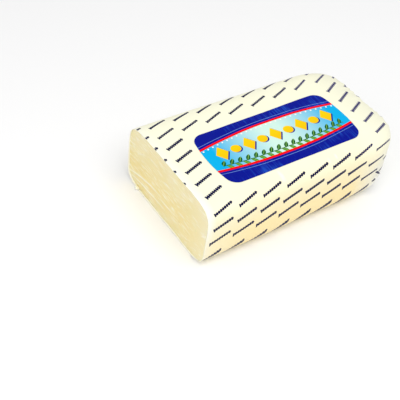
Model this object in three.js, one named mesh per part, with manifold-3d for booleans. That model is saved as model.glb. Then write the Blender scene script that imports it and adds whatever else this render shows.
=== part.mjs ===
// A catering block of mozzarella in its film wrap, one end sliced off square, with a label on the top.
// Millimetres, +Z up, +X from the sliced end to the closed end, origin under the middle of the base.
import * as THREE from 'three';
import { mergeVertices } from 'three/addons/utils/BufferGeometryUtils.js';
import Module from 'manifold-3d';

// The wrapped block
const LENGTH = 216;
const WIDTH = 138;
const HEIGHT = 72.5;
const WAIST = 34.6; // height of the widest level
const TOP_POWER = 6.2; // squareness of the section above the waist, where 2 is an ellipse
const BASE_POWER = 6.2; // squareness below the waist
const SAG = 0.5; // depth of the round base that its own weight presses flat
const LEAN = 5.4; // how far the soft block leans to the front between base and top
const TAPER = 0.06; // share of the width lost from the sliced end to the closed end

// The rounded closed end: its depth, and how far sides, top and base draw in over it
const END_DEPTH = 33;
const END_SIDE = 21;
const END_TOP = 4.2;
const END_BASE = 11.8;

// The film, its welded seam across the closed end, and the cheese inside it
const FILM = 0.6;
const GAP = 0.3;
const CUT_RECESS = 0.8; // how far the cut face stands inside the film's mouth
const SEAM_WIDTH = 80;
const SEAM_HEIGHT = 9;
const SEAM_LEVEL = 37; // height of the seam's middle
const SEAM_PROUD = 1;
const SEAM_ROOT = 0.3; // depth of the seam that is one with the film

// The label, which follows the top
const LABEL_LENGTH = 149;
const LABEL_WIDTH = 70.5;
const LABEL_X = 0;
const LABEL_Y = -15.2;
const LABEL_BOW = 4; // how far the ends bow out
const LABEL_CORNER = 9;
const LABEL_THICK = 0.4;

// Facets
const QUARTER_FACETS = 14;
const RUN_STATIONS = 6;
const END_STATIONS = 9;
const LABEL_COLUMNS = 26;
const LABEL_ROWS = 16;

const HALF = LENGTH / 2;
const RING = 4 * QUARTER_FACETS;

function signedPower(value, power) {
  return Math.sign(value) * Math.abs(value) ** power;
}

// The section as a loop of [y, z], turning from the back over the top, drawn in by inset.
function sectionLoop(inset) {
  const loop = [];
  for (let i = 0; i < RING; i += 1) {
    const turn = (2 * Math.PI * i) / RING;
    const upper = Math.sin(turn) >= 0;
    const power = 2 / (upper ? TOP_POWER : BASE_POWER);
    const reach = (upper ? HEIGHT - WAIST : WAIST + SAG) - inset;
    const y = (WIDTH / 2 - inset) * signedPower(Math.cos(turn), power);
    const z = Math.max(WAIST + reach * signedPower(Math.sin(turn), power), inset);
    loop.push([y + LEAN * (0.5 - z / HEIGHT), z]);
  }
  return loop;
}

function widthShare(x) {
  return 1 - (TAPER * (x + HALF)) / LENGTH;
}

// One ring of the block at x, where draw runs from 0 on the straight run to 1 on the end face.
function ringAt(loop, x, draw) {
  const across = widthShare(x) * (1 - (END_SIDE * draw) / (WIDTH / 2));
  const upright = 1 - ((END_BASE + END_TOP) * draw) / HEIGHT;
  return loop.map(([y, z]) => [x, y * across, END_BASE * draw + z * upright]);
}

// All rings from the sliced end to the closed end of a body drawn in by inset.
function blockRings(inset, start) {
  const loop = sectionLoop(inset);
  const shoulder = HALF - inset - END_DEPTH;
  const rings = [];
  for (let i = 0; i < RUN_STATIONS; i += 1) {
    rings.push(ringAt(loop, start + ((shoulder - start) * i) / RUN_STATIONS, 0));
  }
  for (let i = 0; i <= END_STATIONS; i += 1) {
    const turn = (Math.PI / 2) * (i / END_STATIONS);
    rings.push(ringAt(loop, shoulder + END_DEPTH * Math.sin(turn), 1 - Math.cos(turn)));
  }
  return rings;
}

// Collects points and triangles of one closed body.
class Faces {
  constructor() {
    this.points = [];
    this.triangles = [];
  }

  add(ring) {
    const first = this.points.length;
    this.points.push(...ring);
    return first;
  }

  quad(a, b, c, d) {
    this.triangles.push(a, b, d, b, c, d);
  }

  // Side faces between ring after ring, turned inside out where inward is true.
  sides(firsts, inward) {
    for (let k = 0; k + 1 < firsts.length; k += 1) {
      const [near, far] = inward ? [firsts[k + 1], firsts[k]] : [firsts[k], firsts[k + 1]];
      for (let i = 0; i < RING; i += 1) {
        const j = (i + 1) % RING;
        this.quad(near + i, near + j, far + j, far + i);
      }
    }
  }

  // A flat face inside one ring, as a fan from its middle.
  cap(first, facesPlusX) {
    const ring = this.points.slice(first, first + RING);
    const middle = [0, 1, 2].map((axis) => ring.reduce((sum, point) => sum + point[axis], 0) / RING);
    const hub = this.add([middle]);
    for (let i = 0; i < RING; i += 1) {
      const j = (i + 1) % RING;
      this.triangles.push(hub, first + (facesPlusX ? i : j), first + (facesPlusX ? j : i));
    }
  }

  geometry() {
    const geometry = new THREE.BufferGeometry();
    geometry.setAttribute('position', new THREE.Float32BufferAttribute(this.points.flat(), 3));
    geometry.setIndex(this.triangles);
    return geometry;
  }
}

// The cheese: flat where it is sliced, rounded at the other end.
function cheeseGeometry() {
  const faces = new Faces();
  const firsts = blockRings(FILM + GAP, -HALF + CUT_RECESS).map((ring) => faces.add(ring));
  faces.cap(firsts[0], false);
  faces.sides(firsts, false);
  faces.cap(firsts.at(-1), true);
  return faces.geometry();
}

// The film: a bag open at the sliced end.
function filmGeometry() {
  const faces = new Faces();
  const outer = blockRings(0, -HALF).map((ring) => faces.add(ring));
  const inner = blockRings(FILM, -HALF).map((ring) => faces.add(ring));
  faces.sides(outer, false);
  faces.cap(outer.at(-1), true);
  faces.sides(inner, true);
  faces.cap(inner.at(-1), false);
  for (let i = 0; i < RING; i += 1) {
    const j = (i + 1) % RING;
    faces.quad(outer[0] + i, inner[0] + i, inner[0] + j, outer[0] + j);
  }
  return faces.geometry();
}

// The welded seam, folded flat on the closed end.
function seamGeometry() {
  const seam = new THREE.BoxGeometry(SEAM_PROUD + SEAM_ROOT, SEAM_WIDTH, SEAM_HEIGHT);
  seam.translate(HALF + (SEAM_PROUD - SEAM_ROOT) / 2, 0, SEAM_LEVEL);
  return seam;
}

// Height of the film's top above the base.
function topHeight(x, y) {
  const rounds = 4;
  let z = HEIGHT;
  for (let i = 0; i < rounds; i += 1) {
    const across = (y / widthShare(x) - LEAN * (0.5 - z / HEIGHT)) / (WIDTH / 2);
    z = WAIST + (HEIGHT - WAIST) * (1 - Math.abs(across) ** TOP_POWER) ** (1 / TOP_POWER);
  }
  return z;
}

// Half the label's length at the distance across from its middle line.
function labelReach(across) {
  const half = LABEL_WIDTH / 2;
  const round = Math.max(Math.abs(across) - (half - LABEL_CORNER), 0);
  const corner = LABEL_CORNER - Math.sqrt(LABEL_CORNER ** 2 - Math.min(round, LABEL_CORNER) ** 2);
  return LABEL_LENGTH / 2 - LABEL_BOW * (across / half) ** 2 - corner;
}

// One face of the label, lift above the film, as rows of points.
function labelSheet(lift) {
  const points = [];
  for (let row = 0; row <= LABEL_ROWS; row += 1) {
    const across = (LABEL_WIDTH / 2) * Math.sin((Math.PI / 2) * ((2 * row) / LABEL_ROWS - 1));
    for (let column = 0; column <= LABEL_COLUMNS; column += 1) {
      const x = LABEL_X + labelReach(across) * ((2 * column) / LABEL_COLUMNS - 1);
      const y = LABEL_Y + across;
      points.push([x, y, topHeight(x, y) + lift]);
    }
  }
  return points;
}

// The label: two sheets and the edge round them.
function labelGeometry() {
  const faces = new Faces();
  const under = faces.add(labelSheet(GAP));
  const over = faces.add(labelSheet(GAP + LABEL_THICK));
  const across = LABEL_COLUMNS + 1;
  for (let row = 0; row < LABEL_ROWS; row += 1) {
    for (let column = 0; column < LABEL_COLUMNS; column += 1) {
      const corners = [0, 1, across + 1, across].map((step) => row * across + column + step);
      const [a, b, c, d] = corners.map((corner) => over + corner);
      const [e, f, g, h] = corners.map((corner) => under + corner);
      faces.quad(a, b, c, d);
      faces.quad(h, g, f, e);
    }
  }
  const edge = [];
  for (let column = 0; column < LABEL_COLUMNS; column += 1) edge.push(column);
  for (let row = 0; row < LABEL_ROWS; row += 1) edge.push(row * across + LABEL_COLUMNS);
  for (let column = LABEL_COLUMNS; column > 0; column -= 1) edge.push(LABEL_ROWS * across + column);
  for (let row = LABEL_ROWS; row > 0; row -= 1) edge.push(row * across);
  edge.forEach((corner, i) => {
    const next = edge[(i + 1) % edge.length];
    faces.quad(under + corner, under + next, over + next, over + corner);
  });
  return faces.geometry();
}

const wasm = await Module();
wasm.setup();

function toSolid(geometry) {
  const bare = geometry.clone();
  bare.deleteAttribute('normal');
  bare.deleteAttribute('uv');
  const merged = mergeVertices(bare);
  return new wasm.Manifold(new wasm.Mesh({
    numProp: 3,
    vertProperties: new Float32Array(merged.attributes.position.array),
    triVerts: new Uint32Array(merged.index.array),
  }));
}

function fromSolid(solid) {
  const mesh = solid.getMesh();
  const geometry = new THREE.BufferGeometry();
  geometry.setAttribute('position', new THREE.BufferAttribute(mesh.vertProperties, 3));
  geometry.setIndex(new THREE.BufferAttribute(mesh.triVerts, 1));
  return geometry;
}

function piece(name, geometry, colour, roughness) {
  geometry.computeVertexNormals();
  const mesh = new THREE.Mesh(
    geometry,
    new THREE.MeshStandardMaterial({ color: colour, roughness, metalness: 0 }),
  );
  mesh.name = name;
  return mesh;
}

const wrap = fromSolid(toSolid(filmGeometry()).add(toSolid(seamGeometry())));
const block = new THREE.Group();
block.add(piece('cheese', cheeseGeometry(), '#f0e2ae', 0.55));
block.add(piece('film_wrap', wrap, '#faf5dc', 0.3));
block.add(piece('label', labelGeometry(), '#20306c', 0.35));

// The origin is set under the middle of the whole.
const box = new THREE.Box3().setFromObject(block);
const middle = box.getCenter(new THREE.Vector3());
block.position.set(-middle.x, -middle.y, -box.min.z);
block.updateMatrixWorld(true);

export default block;
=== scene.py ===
import math
import random

import bpy
import numpy as np
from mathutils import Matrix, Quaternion, Vector, noise


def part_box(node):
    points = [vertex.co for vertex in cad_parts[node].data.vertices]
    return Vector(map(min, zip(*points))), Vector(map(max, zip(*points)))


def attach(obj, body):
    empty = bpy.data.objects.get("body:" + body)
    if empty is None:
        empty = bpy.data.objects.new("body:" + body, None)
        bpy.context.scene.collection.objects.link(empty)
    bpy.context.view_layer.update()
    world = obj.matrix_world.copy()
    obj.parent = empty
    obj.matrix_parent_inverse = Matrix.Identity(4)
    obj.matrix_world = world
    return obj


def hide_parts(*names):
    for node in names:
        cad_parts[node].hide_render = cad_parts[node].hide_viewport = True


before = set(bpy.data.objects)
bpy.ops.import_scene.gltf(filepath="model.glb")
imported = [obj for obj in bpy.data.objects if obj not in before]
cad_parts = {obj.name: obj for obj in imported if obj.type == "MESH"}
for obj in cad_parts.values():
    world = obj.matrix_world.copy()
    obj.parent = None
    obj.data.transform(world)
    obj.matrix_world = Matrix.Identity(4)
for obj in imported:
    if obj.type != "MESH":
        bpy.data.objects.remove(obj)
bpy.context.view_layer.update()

# Lengths are in metres. +X runs from the sliced end to the closed end, and -Y is the front.

# Places taken from the solids
film_low, film_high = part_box("film_wrap")
block_low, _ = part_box("cheese")
label_low, label_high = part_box("label")
MOUTH = film_low.x
HEIGHT = film_high.z
CUT = block_low.x
LABEL_MIDDLE = (label_low + label_high) / 2

# The section of the block and how it is drawn in, as in the solids
LENGTH = 0.216
WIDTH = 0.138
WAIST = 0.0346
SQUARENESS = 6.2
SAG = 0.0005
LEAN = 0.0054
TAPER = 0.06
END_DEPTH = 0.033
END_SIDE = 0.021
END_TOP = 0.0042
END_BASE = 0.0118
CLOSED_END = MOUTH + LENGTH
SHOULDER = CLOSED_END - END_DEPTH
DRAW_LEVEL = END_BASE * HEIGHT / (END_BASE + END_TOP)  # the level that stays put as an end ring shrinks
SWELL = 0.0005  # broad dips of the soft block, and their size
SWELL_SIZE = 0.045
DIMPLE = 0.00012  # small dips between them
DIMPLE_SIZE = 0.012
SMOOTH_ANGLE = math.radians(50)  # edges sharper than this stay sharp

# The film and its weld
FILM_THICK = 0.0004
FILM_COLUMNS = 400
RUN_STEPS = 110
END_STEPS = 48
GATHER_STEPS = 28
INNER_WALL_SHARE = 0.12  # share of its faces that the unseen inner wall keeps
INNER_LIP = 0.01  # depth of the inner wall, in from the mouth, that keeps them all
GATHER_WIDTH = 0.9  # shares of the end ring that are left where the film meets the weld
GATHER_HEIGHT = 0.03
PLEATS = 30  # pleats gathered round the closed end
PLEAT_HEIGHT = 0.0012
PLEAT_RUN = 0.7  # share of the closed end's turn over which they rise
PLEAT_RISE = 1.6
PLEAT_PRESS = 0.6  # how far they are pressed flat at the weld
PLEAT_STRAY = 0.7  # how far they stray from even places, in pleats
PLEAT_SHARE = (0.65, 0.5)  # their usual height as a share of the full one, and how much it varies
PLEAT_SHARPNESS = 5
TRIM_DEPTH = 0.002  # how far in from the mouth its uneven trim is felt
TRIM_BACK = 0.0004
TRIM_WAVE = 0.00025
TRIM_WAVE_SIZE = 0.009
LIP_OUT = 0.0011  # how far the mouth stands out low down, and higher up towards the back
LIP_LEVEL = 0.02
LIP_CLIMB = 0.8
LIP_FADE = 0.03
WELD_WIDTH = 0.08
WELD_HEIGHT = 0.009
WELD_LEVEL = 0.037
WELD_PROUD = film_high.x - CLOSED_END
WELD_THICK = 0.0005
WELD_RIBS = 44
RIB_HEIGHT = 0.00022
RIB_STEPS = 8
WELD_ROWS = 16
WELD_WAVE = 0.00025
WELD_WAVE_SIZE = 0.014
PINK_DEPTH = 0.0011

# The cheese
BLOCK_INSET = 0.00035  # the cheese reaches into the film, so that no gap shows round the cut
END_ROOM = 0.003  # room for the film's pleats behind the closed end
CUT_COLUMNS = 240
BLOCK_STEPS = 10

# The label
LABEL_BOW = 0.004
LABEL_CORNER = 0.009
LABEL_THICK = 0.00025
LABEL_LIFT = 0.0002
LABEL_DROP = 0.01  # how far it is lowered on to the film
LABEL_STEPS = (60, 30)  # faces along it and across it
END_POINTS = 61  # points along each bowed end

# The dashes on the film: u runs along the block from its mouth, v round it from the top to the front
DASH_LENGTH = 0.0209
DASH_START = 0.0092
DASH_SKEW = 0.030
DASH_MARGIN = 0.002  # room before a dash, for the slant of its first bar
TOP_PITCH = (0.0256, 0.0267)  # along the back edge of the top and along its front edge
TOP_V = (-0.037, 0.051)
SIDE_PITCH = 0.0247
SHOULDER_V = (0.050, 0.078)  # the front edge of the top, from the top's last row to the side's first
DASH_RISE = 0.37
SHOULDER_RISE = 0.32
SIDE_RISE = 0.41
END_RISE = (0.53, 0.36)  # over the closed end, from the top to the front
END_RISE_U = (0.150, 0.190)
END_RISE_V = (0.0, 0.065)
ROW_PITCH = 0.0172
ROW_START = -0.0009
FAR_PULL = 0.035  # how much the rows are pulled askew towards the closed end, away from one straight row
FAR_RUN = (0.060, 0.180)
STRAIGHT_V = 0.030
LOW_ROW = (0.104, 0.122)  # where the film is stretched round the lower front edge
LOW_START = (0.096, 0.122)
LOW_SHIFT = (0.0080, 0.0070)
PULLS = (  # where the rows are drawn towards the mouth: along u, how far there, and from none to all over v
    ((0.140, 0.190), 0.0040, (0.084, 0.094)),
    ((0.199, 0.205), 0.0035, (0.066, 0.070)),
    ((0.210, 0.213), 0.0030, (0.008, -0.002)),
)
BAR_HALF = 0.0017  # half the height of a bar
FIRST_BAR_HALF = 0.0020
BARS_IN_DASH = 9
BAR_SHARE = 0.66  # share of the dash's length that is bar, the rest being necks
NOTCH = (0.5, 0.74)  # height of the neck between bars, as a share of a bar's, on the top and over the back
BACK_TURN = (-0.034, -0.026)  # stretches of v between rows, where the print changes
EDGE_TURN = (0.052, 0.057)
SIDE_TURN = (0.069, 0.074)
PRINT_WEIGHT = ((BACK_TURN, (0.88, 1.03)), (EDGE_TURN, (1.0, 0.85)))
SIDE_WEIGHT = (0.92, 1.18)  # past the front edge, from the mouth to the closed end
SIDE_RUN = (0.020, 0.150)
FRONT_WEIGHT = (1.52, 1.26)  # down the front as well, and the height of its necks, over the same run
FRONT_NOTCH = (0.58, 0.80)
END_WEIGHT = (0.88, 0.62)  # over the closed end, on the top and on the front
END_TURN = (0.160, 0.195)
END_EDGE = (0.045, 0.060)
LAST_COLUMN = 8  # the last dashes over the closed end, one less along the back
BACK_EDGE = -0.05
OVER_BACK = (-0.050, -0.046)
CLEAR_U = (0.0300, 0.1888)  # the field that is left clear of print for the label
CLEAR_V = (-0.0330, 0.0560)
MOUTH_V = 0.038  # past this, towards the front, no dash is cut by the mouth
LAP_START = 0.197  # the film laps over itself unprinted under the block's middle
TUCK_U = (0.2155, 0.2262)  # past this, the print is tucked in beside the weld with the film's corners
TUCK_TURN = (0.0600, 0.0630)
TUCK_V = (-0.0460, 0.0395)
CAUGHT_BITS = (  # ends of dashes caught askew in the gathered front corner, each from (u, v) to (u, v)
    ((0.1940, 0.0966), (0.2012, 0.1014)),
    ((0.1920, 0.1098), (0.1965, 0.1072)),
)
CAUGHT_HALF = 0.0013


# Modelling helpers

def add_outline(name, points, filled=False):
    """A new ring, from a circle with each vertex moved to its place."""
    bpy.ops.object.select_all(action="DESELECT")
    bpy.ops.mesh.primitive_circle_add(vertices=len(points), fill_type="NGON" if filled else "NOTHING")
    ring = bpy.context.object
    ring.name = ring.data.name = name
    for vertex, point in zip(ring.data.vertices, points):
        vertex.co = point
    return ring


def edit(piece):
    """Opens one piece in edit mode with nothing else selected."""
    bpy.ops.object.select_all(action="DESELECT")
    piece.select_set(True)
    bpy.context.view_layer.objects.active = piece
    bpy.ops.object.mode_set(mode="EDIT")


def leave_edit():
    """Goes back to object mode, which writes the mesh."""
    bpy.ops.object.mode_set(mode="OBJECT")


def edit_faces(piece, wanted):
    """Opens one piece in edit mode with only the wanted faces selected."""
    edit(piece)
    bpy.ops.mesh.select_mode(type="FACE")
    bpy.ops.mesh.select_all(action="DESELECT")
    leave_edit()
    for face in piece.data.polygons:
        face.select = wanted(face)
    edit(piece)
    bpy.ops.mesh.select_mode(type="FACE")


def apply_modifier(piece, kind, **settings):
    """Adds one modifier to the piece and applies it."""
    bpy.context.view_layer.objects.active = piece
    modifier = piece.modifiers.new(kind.lower(), kind)
    for name, value in settings.items():
        setattr(modifier, name, value)
    bpy.ops.object.modifier_apply(modifier=modifier.name)


def places(piece):
    """Vertex places as an array."""
    found = np.empty(len(piece.data.vertices) * 3)
    piece.data.vertices.foreach_get("co", found)
    return found.reshape(-1, 3)


def normals(piece):
    """Vertex normals as an array."""
    found = np.empty(len(piece.data.vertices) * 3)
    piece.data.vertices.foreach_get("normal", found)
    return found.reshape(-1, 3)


def put(piece, moved):
    """Moves the vertices to new places."""
    piece.data.vertices.foreach_set("co", moved.ravel())
    piece.data.update()


def keep_value(piece, name, values):
    """Stores one number for each vertex, for the material to read."""
    layer = piece.data.attributes.new(name, "FLOAT", "POINT")
    layer.data.foreach_set("value", values.astype(np.float32))


def ridge(spots, path, width):
    """How near each spot is to a bent line: 1 on it, fading to 0 past its width and at its ends."""
    path = np.array(path)
    spans = np.diff(path, axis=0)
    lengths = np.hypot(*spans.T)
    starts = np.concatenate([[0], np.cumsum(lengths)])
    best = np.full(len(spots), np.inf)
    share = np.zeros(len(spots))
    for start, span, length, before in zip(path, spans, lengths, starts):
        along = np.clip((spots - start) @ span / length**2, 0, 1)
        away = np.hypot(*(spots - start - along[:, None] * span).T)
        share = np.where(away < best, (before + along * length) / starts[-1], share)
        best = np.minimum(best, away)
    return np.exp(-((best / width) ** 2)) * np.sin(np.pi * np.clip(share, 0, 1)) ** 0.6


def rough(spots, size, seed):
    """Smooth noise from -1 to 1 at each spot, with lumps of about that size.
    The seed is the third number of spots that have only two."""
    stretch = np.broadcast_to(size, spots.shape[1])
    return np.array([noise.noise(Vector((*(spot / stretch), *[seed] * (3 - len(spot))))) for spot in spots])


# Shape of the block

def section_outline(count, inset):
    """Even points (y, z) round the section, from under its middle by the back and the top to the front.
    Also the share of the way round at which the top's middle lies."""
    turn = np.linspace(-math.pi / 2, 1.5 * math.pi, 6001)
    cosine, sine = np.cos(turn), np.sin(turn)
    power = 2 / SQUARENESS
    reach = np.where(sine >= 0, HEIGHT - WAIST, WAIST + SAG) - inset
    height = np.maximum(WAIST + reach * np.sign(sine) * np.abs(sine) ** power, inset)
    across = (WIDTH / 2 - inset) * np.sign(cosine) * np.abs(cosine) ** power
    across = across + LEAN * (0.5 - height / HEIGHT)
    round_to = np.concatenate([[0], np.cumsum(np.hypot(np.diff(across), np.diff(height)))])
    girth = round_to[-1]
    even = np.linspace(0, girth, count, endpoint=False)
    points = np.stack([np.interp(even, round_to, across), np.interp(even, round_to, height)], 1)
    return points, np.interp(math.pi / 2, turn, round_to) / girth


def ring_shares(x, draw):
    """The shares of its width and height that a ring keeps at x.
    Draw runs from 0 to 1 over the closed end."""
    across = (1 - TAPER * (x - MOUTH) / LENGTH) * (1 - END_SIDE * draw / (WIDTH / 2))
    return across, 1 - (END_BASE + END_TOP) * draw / HEIGHT


def stations(start, run_steps, end_steps, inset):
    """Rings from the sliced end to the closed end, each as its x and its draw."""
    shoulder = SHOULDER - inset
    run = [(start + (shoulder - start) * i / run_steps, 0.0) for i in range(run_steps)]
    turns = [math.pi / 2 * i / end_steps for i in range(end_steps + 1)]
    return run + [(shoulder + END_DEPTH * math.sin(turn), 1 - math.cos(turn)) for turn in turns]


def draw_out(rings):
    """Extrudes the selected ring from station to station."""
    for (x, draw), (next_x, next_draw) in zip(rings, rings[1:]):
        across, upright = ring_shares(x, draw)
        next_across, next_upright = ring_shares(next_x, next_draw)
        bpy.ops.mesh.extrude_region_move(TRANSFORM_OT_translate={"value": (next_x - x, 0, 0)})
        bpy.ops.transform.resize(
            value=(1, next_across / across, next_upright / upright),
            center_override=(next_x, 0, DRAW_LEVEL),
        )


def soft_dips(skin):
    """How far the soft block swells or sinks at each place on its skin."""
    return SWELL * rough(skin, SWELL_SIZE, seed=3) + DIMPLE * rough(skin, DIMPLE_SIZE, seed=8)


# The film

FOLDS = (  # short folds seen on the film: the line along (u, v), half width, height and how strongly a highlight is painted along each crest
    (((0.0818, 0.0500), (0.0824, 0.0560), (0.0822, 0.0630)), 0.0010, 0.0006, 0.9),
    (((0.1412, 0.0550), (0.1418, 0.0610)), 0.0007, 0.0003, 0.5),
    (((0.1325, 0.0560), (0.1327, 0.0620)), 0.0007, 0.0003, 0.5),
    (((0.1532, 0.0540), (0.1544, 0.0600)), 0.0007, 0.0003, 0.4),
    (((0.1780, 0.0160), (0.1865, 0.0250), (0.1920, 0.0370)), 0.0011, 0.0004, 0.1),
    (((0.1935, 0.0945), (0.1980, 0.0990), (0.2075, 0.1050)), 0.0012, 0.0018, 0.7),
    (((0.1905, 0.1105), (0.1945, 0.1082), (0.2010, 0.1045)), 0.0012, 0.0014, 0.7),
    (((0.1890, 0.1190), (0.1930, 0.1150), (0.1990, 0.1120)), 0.0012, 0.0010, 0.5),
)


def print_spots(film, top_share):
    """Distances in metres along the film from its mouth and round it from the top, for each vertex."""
    rings = places(film).reshape(-1, FILM_COLUMNS, 3)
    along = np.linalg.norm(np.diff(rings, axis=0), axis=2)
    u = np.concatenate([np.zeros((1, FILM_COLUMNS)), np.cumsum(along, axis=0)])
    steps = np.linalg.norm(np.roll(rings, -1, axis=1) - rings, axis=2)
    girth = steps.sum(axis=1, keepdims=True)
    v = np.cumsum(steps, axis=1) - steps - top_share * girth
    spots = np.stack([u, v], 2)
    return spots.reshape(-1, 2), np.broadcast_to(girth, v.shape).ravel()


def map_print(film, spots, girth):
    """The film's own UV map. It is cut under the block's middle."""
    mesh = film.data
    corner = np.empty(len(mesh.loops), int)
    mesh.loops.foreach_get("vertex_index", corner)
    sizes = np.empty(len(mesh.polygons), int)
    mesh.polygons.foreach_get("loop_total", sizes)
    face = np.repeat(np.arange(len(sizes)), sizes)
    column = corner % FILM_COLUMNS
    closing = np.zeros(len(sizes), bool)
    np.logical_or.at(closing, face, column == FILM_COLUMNS - 1)
    on_map = spots[corner]
    on_map[:, 1] += np.where(closing[face] & (column == 0), girth[corner], 0.0)
    mesh.uv_layers.new(name="print").uv.foreach_set("vector", on_map.astype(np.float32).ravel())


def end_pleats(count):
    """Height of the pleats at each of the film's vertices.
    There are none along the block, and they are highest at the closed end's rim."""
    ring, column = np.divmod(np.arange(count), FILM_COLUMNS)
    rim = RUN_STEPS + END_STEPS
    run = PLEAT_RUN * END_STEPS
    rise = np.clip((ring - rim + run) / run, 0, 1) ** PLEAT_RISE
    press = 1 - PLEAT_PRESS * np.clip((ring - rim) / GATHER_STEPS, 0, 1)
    turn = 2 * math.pi * column / FILM_COLUMNS
    round_end = np.stack([np.cos(turn), np.sin(turn), ring / END_STEPS], 1)
    phase = PLEATS * column / FILM_COLUMNS + PLEAT_STRAY * rough(round_end, (0.5, 0.5, 4), seed=5)
    size = PLEAT_SHARE[0] + PLEAT_SHARE[1] * rough(round_end, (0.3, 0.3, 8), seed=6)
    return PLEAT_HEIGHT * rise * press * size * np.abs(np.cos(math.pi * phase)) ** PLEAT_SHARPNESS


def settle_film(film, spots):
    """Gives the skin its soft dips, folds, pleats and trimmed mouth, and keeps the share of painted highlight
    along each fold's crest.
    """
    skin = places(film)
    lift = soft_dips(skin)
    fold_highlight = np.zeros(len(skin))
    for path, width, height, highlight_share in FOLDS:
        crest = ridge(spots, path, width)
        lift += height * crest
        fold_highlight = np.maximum(fold_highlight, highlight_share * crest)
    lift += end_pleats(len(skin))
    skin += normals(film) * lift[:, None]
    near_mouth = np.exp(-spots[:, 0] / TRIM_DEPTH)
    lip = np.clip((LIP_LEVEL - skin[:, 2] + LIP_CLIMB * np.maximum(skin[:, 1], 0)) / LIP_FADE, 0, 1)
    trim = TRIM_WAVE * rough(skin * (0, 1, 1), TRIM_WAVE_SIZE, seed=11) + TRIM_BACK - LIP_OUT * lip
    skin[:, 0] += near_mouth * trim
    skin[:, 2] = np.maximum(skin[:, 2], 0)
    skin[:, 0] = np.minimum(skin[:, 0], film_high.x)
    put(film, skin)
    keep_value(film, "fold_highlight", fold_highlight)


def make_film():
    """The printed film: a sleeve drawn over the block and gathered into its weld."""
    points, top_share = section_outline(FILM_COLUMNS, 0)
    film = add_outline("shrink_film", [(MOUTH, y, z) for y, z in points])
    edit(film)
    bpy.ops.mesh.select_all(action="SELECT")
    draw_out(stations(MOUTH, RUN_STEPS, END_STEPS, 0))
    step_in = GATHER_WIDTH ** (1 / GATHER_STEPS)
    for step in range(GATHER_STEPS):
        left = 1 - (1 - GATHER_HEIGHT) * step / GATHER_STEPS
        next_left = 1 - (1 - GATHER_HEIGHT) * (step + 1) / GATHER_STEPS
        bpy.ops.mesh.extrude_region_move()
        bpy.ops.transform.resize(
            value=(1, step_in, next_left / left),
            center_override=(CLOSED_END, 0, WELD_LEVEL),
        )
    bpy.ops.mesh.edge_face_add()
    bpy.ops.mesh.select_all(action="SELECT")
    bpy.ops.mesh.normals_make_consistent(inside=False)
    leave_edit()
    spots, girth = print_spots(film, top_share)
    map_print(film, spots, girth)
    settle_film(film, spots)
    film.data.materials.append(None)
    film.data.materials.append(None)
    apply_modifier(
        film, "SOLIDIFY", thickness=FILM_THICK, offset=-1, material_offset=1, material_offset_rim=1
    )
    edit_faces(film, lambda face: face.material_index == 1 and face.center.x > MOUTH + INNER_LIP)
    bpy.ops.mesh.decimate(ratio=INNER_WALL_SHARE)
    bpy.ops.mesh.select_mode(type="VERT")
    leave_edit()
    bpy.ops.object.shade_smooth_by_angle(angle=SMOOTH_ANGLE)
    return film


def make_weld():
    """The crimped weld, folded flat on the closed end, with a pinked lower edge."""
    bpy.ops.object.select_all(action="DESELECT")
    bpy.ops.mesh.primitive_grid_add(x_subdivisions=RIB_STEPS * WELD_RIBS, y_subdivisions=WELD_ROWS, size=1)
    weld = bpy.context.object
    weld.name = weld.data.name = "end_weld"
    along, up = places(weld)[:, :2].T
    rib = np.cos(2 * math.pi * WELD_RIBS * along)
    # The ribs fade out at the upper edge, and only the lowest tenth is pinked.
    crimp = RIB_HEIGHT * rib * np.clip(8 - 16 * np.abs(up + 0.05), 0, 1)
    pink = PINK_DEPTH * (0.5 + 0.5 * rib) * np.clip(-10 * up - 4, 0, 1)
    skin = np.stack([crimp, along * WELD_WIDTH, up * WELD_HEIGHT + pink], 1)
    skin += (CLOSED_END + WELD_PROUD - RIB_HEIGHT, 0, WELD_LEVEL)
    skin[:, 0] += WELD_WAVE * rough(skin, WELD_WAVE_SIZE, seed=21)
    put(weld, skin)
    apply_modifier(weld, "SOLIDIFY", thickness=WELD_THICK, offset=-1)
    bpy.ops.object.shade_smooth_by_angle(angle=SMOOTH_ANGLE)
    return weld


# The cheese

STRETCH_LINES = (  # whitish lines in the cut, along (y, z), with their half width and how white they are
    (((0.0760, 0.0090), (0.0587, 0.0153), (0.0480, 0.0183), (0.0280, 0.0229), (0.0060, 0.0238)), 0.0010, 1.0),
    (((0.0680, 0.0075), (0.0480, 0.0107), (0.0373, 0.0116), (0.0227, 0.0127), (0.0010, 0.0140)), 0.0009, 1.0),
    (((0.0120, 0.0206), (0.0000, 0.0209), (-0.0130, 0.0214)), 0.0009, 0.9),
    (((0.0600, 0.0430), (0.0480, 0.0467), (0.0420, 0.0503)), 0.0010, 0.4),
    (((0.0270, 0.0556), (0.0130, 0.0540)), 0.0008, 0.5),
    (((-0.0300, 0.0290), (-0.0420, 0.0272)), 0.0008, 0.6),
    (((-0.0310, 0.0236), (-0.0430, 0.0207)), 0.0008, 0.5),
    (((-0.0590, 0.0345), (-0.0690, 0.0420)), 0.0010, 0.7),
)
PITS = (  # small holes in the cut, at (y, z)
    (0.0447, 0.0500), (0.0307, 0.0533), (0.0187, 0.0567),
    (0.0020, 0.0463), (-0.0520, 0.0340), (-0.0240, 0.0200),
)
PIT_DEPTH = 0.0009
PIT_REACH = (0.0011, 0.0008)
DENTS = 24  # shallow dents in the cut, each drawn from these ranges
DENT_ACROSS = (-0.062, 0.062)
DENT_UP = (0.006, 0.066)
DENT_LENGTH = (0.0012, 0.0034)
DENT_TALL = (0.0006, 0.0010)
DENT_DEPTH = (0.0002, 0.0005)
FIBRE_SIZE = (0.018, 0.0026)  # the broad fibres of the cut, across and up, and their height
FIBRE_HEIGHT = 0.00014
FINE_SIZE = (0.008, 0.0012)
FINE_HEIGHT = 0.00006
FIBRE_DRIFT = 0.007  # how far fibres wander up and down, and over what distance
DRIFT_SIZE = 0.05
PATCH_SIZE = 0.022
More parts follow.
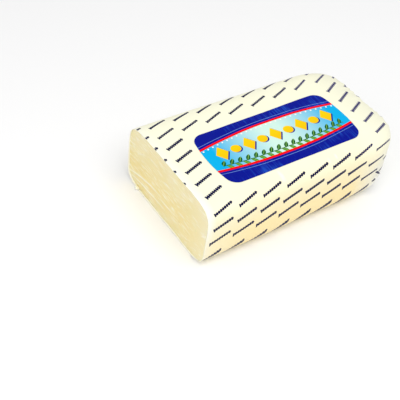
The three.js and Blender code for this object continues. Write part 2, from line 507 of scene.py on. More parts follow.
CUT_WAVE = 0.0004
CUT_WAVE_SIZE = 0.03
LINE_HEIGHT = 0.00022
MOST_WHITE = 0.8
SMEAR_WIDTH = 0.004  # pale smear left by the knife along the lower front edge
SMEAR_TOP = 0.045
SMEAR_FADE = 0.02
CRUMBS = ((0.0510, 0.0020), (0.0478, 0.0009), (0.0545, 0.0012), (0.0390, 0.0010))  # y and size
CRUMB_LUMPS = 0.45
CRUMB_SQUASH = (1.2, 0.8, 0.9)
CRUMB_OUT = 0.9  # how far in front of the cut a crumb lies, in its sizes


def fibre_relief(spots):
    """Height of the cut face at each spot (y, z), and how fibrous it is there from 0 to 1."""
    drift = np.stack([0 * spots[:, 0], FIBRE_DRIFT * rough(spots, DRIFT_SIZE, seed=31)], 1)
    fibre = rough(spots + drift, FIBRE_SIZE, seed=33)
    fine = rough(spots + drift, FINE_SIZE, seed=35)
    patch = np.clip(0.6 + 0.9 * rough(spots, PATCH_SIZE, seed=39), 0, 1)
    height = FIBRE_HEIGHT * fibre + FINE_HEIGHT * fine + CUT_WAVE * rough(spots, CUT_WAVE_SIZE, seed=37)
    white = patch * np.clip(1.6 * (fine - 0.2) + 0.5 * fibre, 0, MOST_WHITE)
    for path, width, share in STRETCH_LINES:
        crest = share * ridge(spots, path, width)
        height += LINE_HEIGHT * crest
        white = np.maximum(white, crest)
    to_front = WIDTH / 2 + spots[:, 0] - LEAN * (0.5 - spots[:, 1] / HEIGHT)
    smear = np.clip(1 - to_front / SMEAR_WIDTH, 0, 1) * np.clip((SMEAR_TOP - spots[:, 1]) / SMEAR_FADE, 0, 1)
    white = np.maximum(white, smear)
    for middle in PITS:
        height -= PIT_DEPTH * np.exp(-(((spots - middle) / PIT_REACH) ** 2).sum(1))
    chance = random.Random(7)
    for _ in range(DENTS):
        middle = np.array([chance.uniform(*DENT_ACROSS), chance.uniform(*DENT_UP)])
        reach = np.array([chance.uniform(*DENT_LENGTH), chance.uniform(*DENT_TALL)])
        height -= chance.uniform(*DENT_DEPTH) * np.exp(-(((spots - middle) / reach) ** 2).sum(1))
    return height, white


def make_block():
    """The cheese, sliced flat at the mouth and hidden by the film elsewhere."""
    points, _ = section_outline(CUT_COLUMNS, BLOCK_INSET)
    block = add_outline("cut_block", [(CUT, y, z) for y, z in points])
    edit(block)
    bpy.ops.mesh.select_all(action="SELECT")
    bpy.ops.mesh.fill_grid(span=CUT_COLUMNS // 6, offset=0)
    bpy.ops.mesh.select_all(action="SELECT")
    bpy.ops.mesh.subdivide(number_cuts=2)
    bpy.ops.mesh.select_all(action="SELECT")
    bpy.ops.mesh.region_to_loop()
    draw_out(stations(CUT, BLOCK_STEPS, BLOCK_STEPS, END_ROOM))
    bpy.ops.mesh.edge_face_add()
    bpy.ops.mesh.select_all(action="SELECT")
    bpy.ops.mesh.normals_make_consistent(inside=False)
    leave_edit()
    skin = places(block)
    on_cut = skin[:, 0] < CUT + 1e-6
    on_side = normals(block) * (0, 1, 1)
    skin += on_side * soft_dips(skin)[:, None]
    height, white = fibre_relief(skin[on_cut][:, 1:])
    skin[on_cut, 0] -= height
    put(block, skin)
    fibres = np.zeros(len(skin))
    fibres[on_cut] = white
    keep_value(block, "fibres", fibres)
    bpy.ops.object.shade_smooth_by_angle(angle=SMOOTH_ANGLE)
    return block


def make_crumbs():
    """Small crumbs left by the knife under the cut's back corner."""
    bits = []
    for y, size in CRUMBS:
        bpy.ops.object.select_all(action="DESELECT")
        bpy.ops.mesh.primitive_ico_sphere_add(subdivisions=4, radius=size)
        bit = bpy.context.object
        skin = places(bit)
        skin *= (1 + CRUMB_LUMPS * rough(skin, 0.9 * size, seed=40 + y))[:, None]
        skin *= CRUMB_SQUASH
        skin += (CUT - CRUMB_OUT * size, y, -skin[:, 2].min())
        put(bit, skin)
        bits.append(bit)
    for bit in bits:
        bit.select_set(True)
    bpy.ops.object.join()
    crumbs = bpy.context.object
    crumbs.name = crumbs.data.name = "crumbs"
    keep_value(crumbs, "fibres", np.ones(len(crumbs.data.vertices)))
    bpy.ops.object.shade_smooth()
    return crumbs


# The label

def label_outline():
    """Points round the label, seen from above: straight sides, bowed ends, round corners."""
    half_length = (label_high.x - label_low.x) / 2
    half_width = (label_high.y - label_low.y) / 2
    across = half_width * np.sin(np.linspace(-math.pi / 2, math.pi / 2, END_POINTS))
    rounding = np.clip(np.abs(across) - (half_width - LABEL_CORNER), 0, LABEL_CORNER)
    corner = LABEL_CORNER - np.sqrt(LABEL_CORNER**2 - rounding**2)
    reach = half_length - LABEL_BOW * (across / half_width) ** 2 - corner
    far_end = list(zip(reach, across))
    near_end = [(-x, y) for x, y in reversed(far_end)]
    height = HEIGHT + LABEL_THICK + LABEL_DROP
    return [(LABEL_MIDDLE.x + x, LABEL_MIDDLE.y + y, height) for x, y in far_end + near_end]


def make_label(film):
    """The label, cut to its outline and laid on the film."""
    label = add_outline("top_label", label_outline(), filled=True)
    edit(label)
    for along, low, high, steps in (
        (Vector((1, 0, 0)), label_low.x, label_high.x, LABEL_STEPS[0]),
        (Vector((0, 1, 0)), label_low.y, label_high.y, LABEL_STEPS[1]),
    ):
        for step in range(1, steps):
            bpy.ops.mesh.select_all(action="SELECT")
            bpy.ops.mesh.bisect(plane_co=along * (low + (high - low) * step / steps), plane_no=along)
    bpy.ops.mesh.select_all(action="SELECT")
    bpy.ops.mesh.normals_make_consistent(inside=False)
    leave_edit()
    apply_modifier(
        label, "SHRINKWRAP", target=film, wrap_method="PROJECT", use_project_z=True,
        use_negative_direction=True, use_positive_direction=False, offset=LABEL_LIFT,
    )
    apply_modifier(label, "SOLIDIFY", thickness=LABEL_THICK, offset=1)
    bpy.ops.object.shade_smooth_by_angle(angle=SMOOTH_ANGLE)
    return label


# Materials

class Recipe:
    """Adds nodes to one material or group and joins them up."""

    def __init__(self, tree):
        self.tree = tree

    def feed(self, socket, value):
        """Links another node's output to the socket, or sets a plain value on it."""
        if isinstance(value, bpy.types.NodeSocket):
            self.tree.links.new(value, socket)
        else:
            socket.default_value = value

    def add(self, kind, inputs=(), **settings):
        """A new node with its settings and its inputs."""
        node = self.tree.nodes.new(kind)
        for name, value in settings.items():
            setattr(node, name, value)
        for name, value in dict(inputs).items():
            self.feed(node.inputs[name], value)
        return node

    def calc(self, operation, *values):
        """The result of one step of arithmetic."""
        node = self.add("ShaderNodeMath", operation=operation)
        for socket, value in zip(node.inputs, values):
            self.feed(socket, value)
        return node.outputs[0]

    def both(self, *masks):
        """The masks or values multiplied together."""
        whole = masks[0]
        for mask in masks[1:]:
            whole = self.calc("MULTIPLY", whole, mask)
        return whole

    def between(self, value, low, high):
        """1 where the value lies between low and high, and 0 elsewhere."""
        return self.both(self.calc("GREATER_THAN", value, low), self.calc("LESS_THAN", value, high))

    def ramp(self, value, across, to):
        """The value carried from one range to another, and held at its ends."""
        return self.add("ShaderNodeMapRange", {
            "Value": value, "From Min": across[0], "From Max": across[1], "To Min": to[0], "To Max": to[1],
        }).outputs[0]

    def tint(self, share, under, over):
        """Colour over laid on colour under by the share."""
        node = self.add("ShaderNodeMix", data_type="RGBA")
        self.feed(node.inputs[0], share)
        self.feed(node.inputs[6], under)
        self.feed(node.inputs[7], over)
        return node.outputs[2]

    def group(self, tree, inputs=()):
        """The outputs of a node group placed here."""
        node = self.add("ShaderNodeGroup", node_tree=tree)
        for name, value in dict(inputs).items():
            self.feed(node.inputs[name], value)
        return node.outputs


def new_group(name, inputs, outputs):
    """A new node group, its recipe, its input values and its output sockets."""
    tree = bpy.data.node_groups.new(name, "ShaderNodeTree")
    for label, kind in inputs:
        tree.interface.new_socket(label, in_out="INPUT", socket_type=kind)
    for label, kind in outputs:
        tree.interface.new_socket(label, in_out="OUTPUT", socket_type=kind)
    recipe = Recipe(tree)
    return tree, recipe, recipe.add("NodeGroupInput").outputs, recipe.add("NodeGroupOutput").inputs


def new_finish(name):
    """A new material, its recipe and its shader."""
    finish = bpy.data.materials.new(name)
    finish.use_nodes = True
    recipe = Recipe(finish.node_tree)
    return finish, recipe, finish.node_tree.nodes["Principled BSDF"].inputs


def wear(piece, *finishes):
    """Puts each finish in its slot of the piece."""
    slots = piece.data.materials
    for index, finish in enumerate(finishes):
        if index < len(slots):
            slots[index] = finish
        else:
            slots.append(finish)


def stretch_wrinkle_group():
    """Fine wrinkles of film that is pulled taut along the block."""
    tree, recipe, given, out = new_group(
        "stretch_wrinkles", [("Place", "NodeSocketVector")],
        [("Height", "NodeSocketFloat"), ("Sheen", "NodeSocketFloat")],
    )
    lines = recipe.add("ShaderNodeMapping", {"Vector": given["Place"], "Scale": (620, 45, 45)})
    fine = recipe.add("ShaderNodeTexNoise", {"Vector": lines.outputs[0], "Scale": 1.0, "Detail": 2.0})
    broad = recipe.add("ShaderNodeTexNoise", {"Vector": given["Place"], "Scale": 38.0, "Detail": 3.0})
    patchy = recipe.calc("MULTIPLY", fine.outputs[0], broad.outputs[0])
    recipe.feed(out["Height"], patchy)
    recipe.feed(out["Sheen"], broad.outputs[0])
    return tree


def milk_fibre_group():
    """Fine pulled fibres and warmer patches of fresh cheese."""
    tree, recipe, given, out = new_group(
        "milk_fibres", [("Place", "NodeSocketVector")],
        [("Fibre", "NodeSocketFloat"), ("Warmth", "NodeSocketFloat"), ("Grain", "NodeSocketFloat")],
    )
    drift = recipe.add("ShaderNodeTexNoise", {"Vector": given["Place"], "Scale": 22.0, "Detail": 1.0})
    bend = recipe.add("ShaderNodeVectorMath", operation="MULTIPLY_ADD")
    recipe.feed(bend.inputs[0], drift.outputs["Color"])
    recipe.feed(bend.inputs[1], (0.012, 0.012, 0.012))
    recipe.feed(bend.inputs[2], given["Place"])
    pulled = recipe.add("ShaderNodeMapping", {"Vector": bend.outputs[0], "Scale": (300, 75, 500)})
    fibre = recipe.add("ShaderNodeTexNoise", {"Vector": pulled.outputs[0], "Scale": 1.0, "Detail": 4.0})
    warmth = recipe.add("ShaderNodeTexNoise", {"Vector": given["Place"], "Scale": 34.0, "Detail": 3.0})
    grain = recipe.add("ShaderNodeTexNoise", {"Vector": given["Place"], "Scale": 900.0, "Detail": 2.0})
    recipe.feed(out["Fibre"], fibre.outputs[0])
    recipe.feed(out["Warmth"], warmth.outputs[0])
    recipe.feed(out["Grain"], grain.outputs[0])
    return tree


def stroke(recipe, u, v, start, end, half):
    """A straight bar from one spot on the film to another."""
    span = Vector(end) - Vector(start)
    turn = span.normalized()
    over, down = recipe.calc("SUBTRACT", u, start[0]), recipe.calc("SUBTRACT", v, start[1])
    along = recipe.calc("MULTIPLY_ADD", over, turn.x, recipe.calc("MULTIPLY", down, turn.y))
    away = recipe.calc("MULTIPLY_ADD", down, turn.x, recipe.calc("MULTIPLY", over, -turn.y))
    return recipe.both(recipe.between(along, 0.0, span.length), recipe.between(away, -half, half))


def dash_ink(recipe, u, v):
    """Where the film is printed: rows of slanted dashes, each broken into small bars."""
    start = recipe.calc("MULTIPLY_ADD", v, -DASH_SKEW, DASH_START)
    start = recipe.calc("SUBTRACT", start, recipe.ramp(v, LOW_START, (0.0, LOW_SHIFT[0])))
    for run, reach, turn in PULLS:
        drawn = recipe.both(recipe.ramp(u, run, (0.0, reach)), recipe.ramp(v, turn, (0.0, 1.0)))
        start = recipe.calc("SUBTRACT", start, drawn)
    pull = recipe.calc("ABSOLUTE", recipe.calc("SUBTRACT", v, STRAIGHT_V))
    level = recipe.calc("MULTIPLY_ADD", pull, recipe.ramp(u, FAR_RUN, (0.0, FAR_PULL)), v)
    level = recipe.calc("SUBTRACT", level, recipe.ramp(v, LOW_ROW, (ROW_START, ROW_START + LOW_SHIFT[1])))
    top_pitch = recipe.ramp(v, TOP_V, TOP_PITCH)
    pitch = recipe.calc("SUBTRACT", top_pitch, recipe.ramp(v, SHOULDER_V, (0.0, TOP_PITCH[1] - SIDE_PITCH)))
    count = recipe.calc("DIVIDE", recipe.calc("ADD", recipe.calc("SUBTRACT", u, start), DASH_MARGIN), pitch)
    across = recipe.calc("SUBTRACT", recipe.calc("MULTIPLY", recipe.calc("FRACT", count), pitch), DASH_MARGIN)
    column = recipe.calc("ADD", recipe.calc("FLOOR", count), recipe.calc("LESS_THAN", v, BACK_EDGE))
    near_rise = recipe.calc(
        "ADD",
        recipe.ramp(v, EDGE_TURN, (DASH_RISE, SHOULDER_RISE)),
        recipe.ramp(v, SIDE_TURN, (0.0, SIDE_RISE - SHOULDER_RISE)),
    )
    rise = recipe.ramp(u, END_RISE_U, (near_rise, recipe.ramp(v, END_RISE_V, END_RISE)))
    row_level = recipe.calc("MULTIPLY_ADD", rise, across, level)
    row = recipe.calc("ROUND", recipe.calc("DIVIDE", row_level, ROW_PITCH))
    below = recipe.calc("MULTIPLY_ADD", row, -ROW_PITCH, level)
    slope = recipe.calc("ARCTANGENT", rise)
    cosine, sine = recipe.calc("COSINE", slope), recipe.calc("SINE", slope)
    along = recipe.calc("SUBTRACT", recipe.both(across, cosine), recipe.both(below, sine))
    away = recipe.calc("ABSOLUTE", recipe.calc("ADD", recipe.both(across, sine), recipe.both(below, cosine)))
    bars = recipe.calc("DIVIDE", along, DASH_LENGTH / BARS_IN_DASH)
    is_first = recipe.calc("LESS_THAN", bars, 1.0)
    half = recipe.calc("MULTIPLY_ADD", is_first, FIRST_BAR_HALF - BAR_HALF, BAR_HALF)
    half = recipe.both(half, recipe.ramp(u, END_TURN, (1.0, recipe.ramp(v, END_EDGE, END_WEIGHT))))
    for stretch, weight in PRINT_WEIGHT:
        half = recipe.both(half, recipe.ramp(v, stretch, weight))
    half = recipe.both(half, recipe.ramp(v, EDGE_TURN, (1.0, recipe.ramp(u, SIDE_RUN, SIDE_WEIGHT))))
    half = recipe.both(half, recipe.ramp(v, SIDE_TURN, (1.0, recipe.ramp(u, SIDE_RUN, FRONT_WEIGHT))))
    in_neck = recipe.calc("GREATER_THAN", recipe.calc("FRACT", bars), BAR_SHARE)
    neck = recipe.ramp(v, SIDE_TURN, (NOTCH[0], recipe.ramp(u, SIDE_RUN, FRONT_NOTCH)))
    neck = recipe.calc("MAXIMUM", neck, recipe.ramp(v, OVER_BACK, NOTCH[::-1]))
    half = recipe.both(half, recipe.calc("MULTIPLY_ADD", in_neck, recipe.calc("SUBTRACT", neck, 1.0), 1.0))
    cut_off = recipe.both(recipe.calc("LESS_THAN", column, -0.5), recipe.calc("GREATER_THAN", v, MOUTH_V))
    inside = recipe.both(
        recipe.between(bars, 0.0, BARS_IN_DASH),
        recipe.calc("LESS_THAN", away, half),
        recipe.calc("LESS_THAN", recipe.calc("ABSOLUTE", v), LAP_START),
        recipe.calc("LESS_THAN", column, LAST_COLUMN + 0.5),
    )
    bare = recipe.both(recipe.between(u, *CLEAR_U), recipe.between(v, *CLEAR_V))
    beside_weld = recipe.calc("SUBTRACT", 1.0, recipe.between(v, *TUCK_V))
    tuck = recipe.ramp(recipe.calc("ABSOLUTE", v), TUCK_TURN, TUCK_U)
    tucked = recipe.both(recipe.calc("GREATER_THAN", u, tuck), beside_weld)
    unprinted = recipe.calc("MAXIMUM", bare, recipe.calc("MAXIMUM", cut_off, tucked))
    ink = recipe.calc("MULTIPLY", inside, recipe.calc("LESS_THAN", unprinted, 0.5))
    for start, end in CAUGHT_BITS:
        ink = recipe.calc("MAXIMUM", ink, stroke(recipe, u, v, start, end, CAUGHT_HALF))
    return ink


# Colours of the film and its ink
FILM_CREAM = ((0.925, 0.91, 0.69, 1), (0.95, 0.94, 0.75, 1))  # between these two, in soft patches
FILM_BARE = ((0.94, 0.935, 0.82, 1), (0.96, 0.955, 0.87, 1))
FILM_TIGHT_AND_BOUNCE = (0.955, 0.78, 0.40, 1)  # the warmer sides, below the edges of the top: the cheese showing through where the film is taut, and painted bounce light and side shade
FILM_LIFTED = (0.96, 0.96, 0.90, 1)
FILM_END_SHADE = (0.80, 0.795, 0.64, 1)
FILM_GATHERED_SHADE = (0.79, 0.79, 0.72, 1)
FILM_FOLD_HIGHLIGHT = (0.97, 0.97, 0.95, 1)
INK = (0.003, 0.004, 0.048, 1)
PALE_INK_AND_SHEEN = (0.085, 0.080, 0.210, 1)
FILM_GLOSS = 0.15


def film_finish(wrinkles, printed):
    """Softly glossy film: printed outside, and bare inside and on the weld."""
    finish, recipe, shader = new_finish("printed_film" if printed else "bare_film")
    place = recipe.add("ShaderNodeTexCoord").outputs["Object"]
    wrinkle = recipe.group(wrinkles, {"Place": place})
    shade = recipe.add("ShaderNodeTexNoise", {"Vector": place, "Scale": 24.0, "Detail": 2.0})
    pale, paler = FILM_CREAM if printed else FILM_BARE
    colour = recipe.tint(shade.outputs[0], pale, paler)
    if printed:
        spot = recipe.add("ShaderNodeUVMap", uv_map="print").outputs[0]
        spot = recipe.add("ShaderNodeSeparateXYZ", {"Vector": spot})
        u, v = spot.outputs[0], spot.outputs[1]
        # Warmer down the front, and less so down the back: the cheese showing through the taut film, and
        # painted bounce light and side shade
        lower = recipe.calc("MAXIMUM", v, recipe.calc("MULTIPLY", v, -0.6))
        tight_and_bounce = recipe.both(
            recipe.ramp(lower, (0.045, 0.105), (0.0, 0.9)),
            recipe.ramp(u, (0.008, 0.050), (0.6, 1.0)),
            recipe.ramp(u, (0.165, 0.220), (1.0, 0.0)),
        )
        colour = recipe.tint(tight_and_bounce, colour, FILM_TIGHT_AND_BOUNCE)
        # Paler along the mouth, where the film stands off the cheese
        lifted = recipe.both(
            recipe.ramp(u, (0.002, 0.009), (0.75, 0.0)),
            recipe.ramp(v, (-0.04, 0.06), (0.35, 1.0)),
            recipe.ramp(v, (0.080, 0.105), (1.0, 0.4)),
        )
        colour = recipe.tint(lifted, colour, FILM_LIFTED)
        # Painted shade: greyer over the closed end, which turns from the light, and most where the low front
        # corner is gathered, where the film also hangs loose and clear off the cheese
        colour = recipe.tint(recipe.ramp(u, (0.188, 0.222), (0.0, 0.6)), colour, FILM_END_SHADE)
        gathered = recipe.both(
            recipe.ramp(u, (0.166, 0.202), (0.0, 0.75)),
            recipe.ramp(u, (0.208, 0.224), (1.0, 0.0)),
            recipe.ramp(v, (0.072, 0.098), (0.0, 1.0)),
            recipe.ramp(v, (0.125, 0.150), (1.0, 0.0)),
        )
        colour = recipe.tint(gathered, colour, FILM_GATHERED_SHADE)
        # Painted highlight along the crests of the folds
        fold_highlight = recipe.add("ShaderNodeAttribute", attribute_name="fold_highlight")
        colour = recipe.tint(fold_highlight.outputs["Fac"], colour, FILM_FOLD_HIGHLIGHT)
        # The ink is paler towards the closed end, on the top more than on the front: thinner ink there, and a
        # painted sheen over it
        pale_ink_and_sheen = recipe.ramp(u, (0.130, 0.190), (0.0, 0.65))
        pale_ink_and_sheen = recipe.both(pale_ink_and_sheen, recipe.ramp(v, (0.050, 0.070), (1.0, 0.2)))
        ink = recipe.tint(pale_ink_and_sheen, INK, PALE_INK_AND_SHEEN)
        colour = recipe.tint(dash_ink(recipe, u, v), colour, ink)
    recipe.feed(shader["Base Color"], colour)
    recipe.feed(shader["Roughness"], recipe.calc("MULTIPLY_ADD", wrinkle["Sheen"], 0.2, 0.24))
    shader["Specular IOR Level"].default_value = FILM_GLOSS
    bump = recipe.add("ShaderNodeBump", {"Strength": 0.25, "Distance": 0.0003, "Height": wrinkle["Height"]})
    recipe.feed(shader["Normal"], bump.outputs[0])
    return finish


# Colours of the cheese
CHEESE_CREAM = ((0.862, 0.736, 0.355, 1), (0.885, 0.785, 0.465, 1))  # between these two, in patches
CHEESE_BOUNCE_WARM = (0.875, 0.718, 0.295, 1)
CHEESE_WHITE = (0.985, 0.955, 0.81, 1)
MILK_DEPTH = (0.004, 0.0028, 0.0014)  # how far red, green and blue light soak in


def cheese_finish(fibres):
    """Moist cheese with pale pulled fibres, and painted bounce light making it warmest in a band below the
    cut's middle.
    """
    finish, recipe, shader = new_finish("fresh_cheese")
    place = recipe.add("ShaderNodeTexCoord").outputs["Object"]
    milk = recipe.group(fibres, {"Place": place})
    line = recipe.add("ShaderNodeAttribute", attribute_name="fibres").outputs["Fac"]
    patch = recipe.ramp(milk["Warmth"], (0.35, 0.65), (0.0, 1.0))
    colour = recipe.tint(patch, *CHEESE_CREAM)
    spot = recipe.add("ShaderNodeSeparateXYZ", {"Vector": place})
    across, height = spot.outputs[1], spot.outputs[2]
    # Painted bounce light: yellower in a band low on the cut, most towards the back
    bounce_warm = recipe.both(
        recipe.ramp(height, (0.004, 0.020), (0.35, 0.95)),
        recipe.ramp(height, (0.032, 0.048), (1.0, 0.0)),
        recipe.ramp(across, (-0.055, 0.025), (0.5, 1.0)),
    )
    colour = recipe.tint(bounce_warm, colour, CHEESE_BOUNCE_WARM)
    strand = recipe.ramp(milk["Fibre"], (0.52, 0.72), (0.0, 0.7))
    white = recipe.calc("MAXIMUM", strand, line)
    white = recipe.calc("MAXIMUM", white, recipe.ramp(across, (-0.064, -0.035), (0.24, 0.0)))
    colour = recipe.tint(white, colour, CHEESE_WHITE)
    recipe.feed(shader["Base Color"], colour)
    recipe.feed(shader["Roughness"], recipe.calc("MULTIPLY_ADD", milk["Fibre"], 0.2, 0.40))
    shader["Subsurface Weight"].default_value = 0.25
    shader["Subsurface Radius"].default_value = MILK_DEPTH
    shader["Subsurface Scale"].default_value = 1.0
    relief = recipe.calc("MULTIPLY_ADD", milk["Grain"], 0.3, milk["Fibre"])
    bump = recipe.add("ShaderNodeBump", {"Strength": 0.3, "Distance": 0.0004, "Height": relief})
    recipe.feed(shader["Normal"], bump.outputs[0])
    return finish


# Colours and sizes of the label's print. s runs along the label and t across it, both from its middle.
NAVY = (0.0005, 0.006, 0.27, 1)
NAVY_SHEEN = (0.010, 0.070, 0.48, 1)
PIN_BLUE = (0.16, 0.30, 0.72, 1)
RED = (0.93, 0.0005, 0.001, 1)
SKY = (0.0005, 0.43, 0.80, 1)
PALE_SKY = (0.62, 0.86, 0.76, 1)
YELLOW = (0.96, 0.66, 0.001, 1)
AMBER = (0.92, 0.52, 0.001, 1)
DEEP_GREEN = (0.004, 0.11, 0.014, 1)
LEAF_GREEN = (0.075, 0.28, 0.020, 1)
RIB_GREEN = (0.30, 0.55, 0.12, 1)
BEAD_WHITE = (0.90, 0.92, 0.88, 1)
PANEL_HALF = 0.0235  # half the height of the pale panel at the label's middle
PANEL_BOW = 1.25  # how fast the panel narrows to its ends, per metre
PIPING = 0.0026
PINSTRIPE = (0.0262, 0.0267)
SKY_SPREAD = (0.008, 0.064)  # along s, from the pale middle to the full blue
JEWEL_PITCH = 0.0144
JEWELS_EACH_SIDE = 4
JEWEL_ROW = 0.0035
DIAMOND = (0.0064, 0.0094)
DISC = 0.0050
JEWEL_SHADOW = 0.0010
BEAD_PITCH = 0.0055
BEAD = 0.0009
BEAD_ROW = 0.0193
LEAF_PITCH = 0.0080
LEAF_ROW = 0.0163
LEAF_HALF = (0.0045, 0.0019)
LEAF_TILT = 0.95
LEAF_ROOT = 0.62  # how far a leaf's middle stands off the stem, in half lengths
LEAF_RIB = 0.00022
STEM_HALF = 0.0004
GARLAND_BOW = 0.9
GARLAND_END = 0.066
LABEL_GLOSS = 0.06


def length_of(recipe, one, other):
    """Distance from the middle, from the distances along and across."""
    return recipe.calc("SQRT", recipe.calc("ADD", recipe.both(one, one), recipe.both(other, other)))


def repeat_along(recipe, s, pitch):
    """Distance along from the nearest of many even places, and which of them it is."""
    count = recipe.calc("DIVIDE", s, pitch)
    nearest = recipe.calc("ROUND", count)
    return recipe.calc("MULTIPLY", recipe.calc("SUBTRACT", count, nearest), pitch), nearest


def jewel_row(recipe, s, t):
    """Diamonds and discs in turn, in one row along the label."""
    across, nearest = repeat_along(recipe, s, JEWEL_PITCH)
    wide = recipe.calc("DIVIDE", recipe.calc("ABSOLUTE", across), DIAMOND[0])
    tall = recipe.calc("DIVIDE", recipe.calc("ABSOLUTE", t), DIAMOND[1])
    diamond = recipe.calc("LESS_THAN", recipe.calc("ADD", wide, tall), 1.0)
    disc = recipe.calc("LESS_THAN", length_of(recipe, across, t), DISC)
    odd = recipe.calc("PINGPONG", nearest, 1.0)
    even = recipe.calc("SUBTRACT", 1.0, odd)
    shape = recipe.calc("ADD", recipe.both(disc, odd), recipe.both(diamond, even))
    from_middle = recipe.calc("ABSOLUTE", nearest)
    return recipe.both(shape, recipe.calc("LESS_THAN", from_middle, JEWELS_EACH_SIDE + 0.5))


def leaves(recipe, s, level, side, shift):
    """Pointed leaves on one side of the garland's stem, and the ribs down their middles."""
    across, _ = repeat_along(recipe, recipe.calc("ADD", s, shift), LEAF_PITCH)
    above = recipe.calc("SUBTRACT", level, side * LEAF_ROOT * LEAF_HALF[0])
    cosine, sine = math.cos(LEAF_TILT), side * math.sin(LEAF_TILT)
    along = recipe.calc("MULTIPLY_ADD", above, sine, recipe.calc("MULTIPLY", across, cosine))
    off = recipe.calc("MULTIPLY_ADD", above, cosine, recipe.calc("MULTIPLY", across, -sine))
    off = recipe.calc("ABSOLUTE", off)
    length = recipe.calc("DIVIDE", along, LEAF_HALF[0])
    belly = recipe.calc("MULTIPLY", recipe.calc("SUBTRACT", 1.0, recipe.both(length, length)), LEAF_HALF[1])
    leaf = recipe.calc("LESS_THAN", off, belly)
    return leaf, recipe.both(leaf, recipe.calc("LESS_THAN", off, LEAF_RIB))


def label_panel(recipe, s, t, bow):
    """Colour of the pale panel: sky, a garland, a row of beads and a row of yellow shapes."""
    sides = recipe.calc("ABSOLUTE", s)
    colour = recipe.tint(recipe.ramp(sides, SKY_SPREAD, (0.0, 1.0)), PALE_SKY, SKY)
    garland_bow = recipe.calc("MULTIPLY", bow, GARLAND_BOW)
    level = recipe.calc("SUBTRACT", recipe.calc("ADD", t, LEAF_ROW), garland_bow)
    in_garland = recipe.calc("LESS_THAN", sides, GARLAND_END)
    for side, shift, green in ((1, 0.0, DEEP_GREEN), (-1, LEAF_PITCH / 2, LEAF_GREEN)):
        leaf, rib = leaves(recipe, s, level, side, shift)
        colour = recipe.tint(recipe.both(leaf, in_garland), colour, green)
        colour = recipe.tint(recipe.both(rib, in_garland), colour, RIB_GREEN)
    stem = recipe.calc("LESS_THAN", recipe.calc("ABSOLUTE", level), STEM_HALF)
    colour = recipe.tint(recipe.both(stem, in_garland), colour, DEEP_GREEN)
    across, _ = repeat_along(recipe, s, BEAD_PITCH)
    bead_level = recipe.calc("SUBTRACT", recipe.calc("ADD", t, bow), BEAD_ROW)
    colour = recipe.tint(
        recipe.calc("LESS_THAN", length_of(recipe, across, bead_level), BEAD), colour, BEAD_WHITE
    )
    jewel_level = recipe.calc("SUBTRACT", t, JEWEL_ROW)
    shadow = jewel_row(
        recipe, recipe.calc("SUBTRACT", s, JEWEL_SHADOW), recipe.calc("ADD", jewel_level, JEWEL_SHADOW)
    )
    colour = recipe.tint(shadow, colour, NAVY)
    gold = recipe.tint(recipe.ramp(jewel_level, (-DIAMOND[1], DIAMOND[1]), (0.0, 1.0)), AMBER, YELLOW)
    return recipe.tint(jewel_row(recipe, s, jewel_level), colour, gold)


def label_finish(wrinkles):
    """Satin print: navy fields with pinstripes, red piping and the pale panel between."""
    finish, recipe, shader = new_finish("label_print")
    place = recipe.add("ShaderNodeTexCoord").outputs["Object"]
    centred = recipe.add("ShaderNodeMapping", {"Vector": place, "Location": tuple(-LABEL_MIDDLE)})
    spot = recipe.add("ShaderNodeSeparateXYZ", {"Vector": centred.outputs[0]})
    s, t = spot.outputs[0], spot.outputs[1]
    wrinkle = recipe.group(wrinkles, {"Place": place})
    bow = recipe.calc("MULTIPLY", recipe.both(s, s), PANEL_BOW)
    away = recipe.calc("ADD", recipe.calc("ABSOLUTE", t), bow)
    # Painted sheen along the fine wrinkles over the navy
    wrinkle_sheen = recipe.ramp(wrinkle["Height"], (0.24, 0.40), (0.0, 0.9))
    navy = recipe.tint(wrinkle_sheen, NAVY, NAVY_SHEEN)
    navy = recipe.tint(recipe.between(away, *PINSTRIPE), navy, PIN_BLUE)
    colour = recipe.tint(recipe.calc("LESS_THAN", away, PANEL_HALF), navy, label_panel(recipe, s, t, bow))
    colour = recipe.tint(recipe.between(away, PANEL_HALF - PIPING, PANEL_HALF), colour, RED)
    recipe.feed(shader["Base Color"], colour)
    recipe.feed(shader["Roughness"], recipe.calc("MULTIPLY_ADD", wrinkle["Sheen"], 0.2, 0.28))
    shader["Specular IOR Level"].default_value = LABEL_GLOSS
    bump = recipe.add("ShaderNodeBump", {"Strength": 0.3, "Distance": 0.0003, "Height": wrinkle["Height"]})
    recipe.feed(shader["Normal"], bump.outputs[0])
    return finish


# The studio

CAMERA_PLACE = (-0.4190, -0.51156, 0.6019)
CAMERA_AZIMUTH = math.radians(-34.258)
CAMERA_ELEVATION = math.radians(43.660)
CAMERA_ROLL = math.radians(3.98)
CAMERA_LENS = 82.13
FLOOR_SIZE = 12
FLOOR_DROP = 0.0002  # how far the floor lies below the block
FLOOR_WHITE = (0.95, 0.95, 0.95, 1)
AIR_STRENGTH = 0.62
LIGHTS = (  # name, place, size and watts
    ("key", (-0.10, -0.70, 1.42), 1.2, 13.5),
    ("fill", (-1.2, -0.3, 0.9), 1.2, 3.2),
)


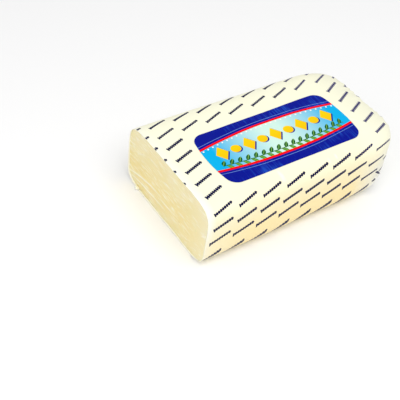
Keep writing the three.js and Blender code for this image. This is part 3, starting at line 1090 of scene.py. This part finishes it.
def set_camera():
    """The camera at the photograph's viewing angle."""
    data = bpy.data.cameras.new("photo_camera")
    data.lens = CAMERA_LENS
    camera = bpy.data.objects.new("photo_camera", data)
    bpy.context.scene.collection.objects.link(camera)
    level = math.cos(CAMERA_ELEVATION)
    back = Vector((
        math.sin(CAMERA_AZIMUTH) * level, -math.cos(CAMERA_AZIMUTH) * level, math.sin(CAMERA_ELEVATION)
    ))
    camera.rotation_mode = "QUATERNION"
    camera.location = CAMERA_PLACE
    camera.rotation_quaternion = (-back).to_track_quat("-Z", "Y") @ Quaternion((0, 0, 1), CAMERA_ROLL)
    bpy.context.scene.camera = camera


def add_light(name, place, size, watts):
    """A square soft light that faces the block."""
    data = bpy.data.lights.new(name, "AREA")
    data.size = size
    data.energy = watts
    light = bpy.data.objects.new(name, data)
    bpy.context.scene.collection.objects.link(light)
    light.location = place
    light.rotation_mode = "QUATERNION"
    light.rotation_quaternion = (-Vector(place)).to_track_quat("-Z", "Y")


def set_studio():
    """A plain pale floor and soft light."""
    bpy.ops.object.select_all(action="DESELECT")
    bpy.ops.mesh.primitive_plane_add(size=FLOOR_SIZE, location=(0, 0, -FLOOR_DROP))
    floor = bpy.context.object
    floor.name = "floor"
    paint = bpy.data.materials.new("floor_paint")
    paint.use_nodes = True
    shader = paint.node_tree.nodes["Principled BSDF"].inputs
    shader["Base Color"].default_value = FLOOR_WHITE
    shader["Roughness"].default_value = 0.9
    floor.data.materials.append(paint)
    world = bpy.data.worlds.new("studio_air")
    world.use_nodes = True
    air = world.node_tree.nodes["Background"].inputs
    air["Color"].default_value = (1, 1, 1, 1)
    air["Strength"].default_value = AIR_STRENGTH
    bpy.context.scene.world = world
    bpy.context.scene.view_settings.view_transform = "Standard"
    for name, place, size, watts in LIGHTS:
        add_light(name, place, size, watts)


film = make_film()
weld = make_weld()
block = make_block()
crumbs = make_crumbs()
label = make_label(film)

wrinkles = stretch_wrinkle_group()
fibres = milk_fibre_group()
bare_film = film_finish(wrinkles, False)
wear(film, film_finish(wrinkles, True), bare_film)
wear(weld, bare_film)
cheese = cheese_finish(fibres)
wear(block, cheese)
wear(crumbs, cheese)
wear(label, label_finish(wrinkles))

for piece, slot in ((film, "film"), (weld, "film"), (block, "cheese"), (crumbs, "cheese"), (label, "label")):
    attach(piece, "root")
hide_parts("film_wrap")
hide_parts("cheese")
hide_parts("label")

set_camera()
set_studio()
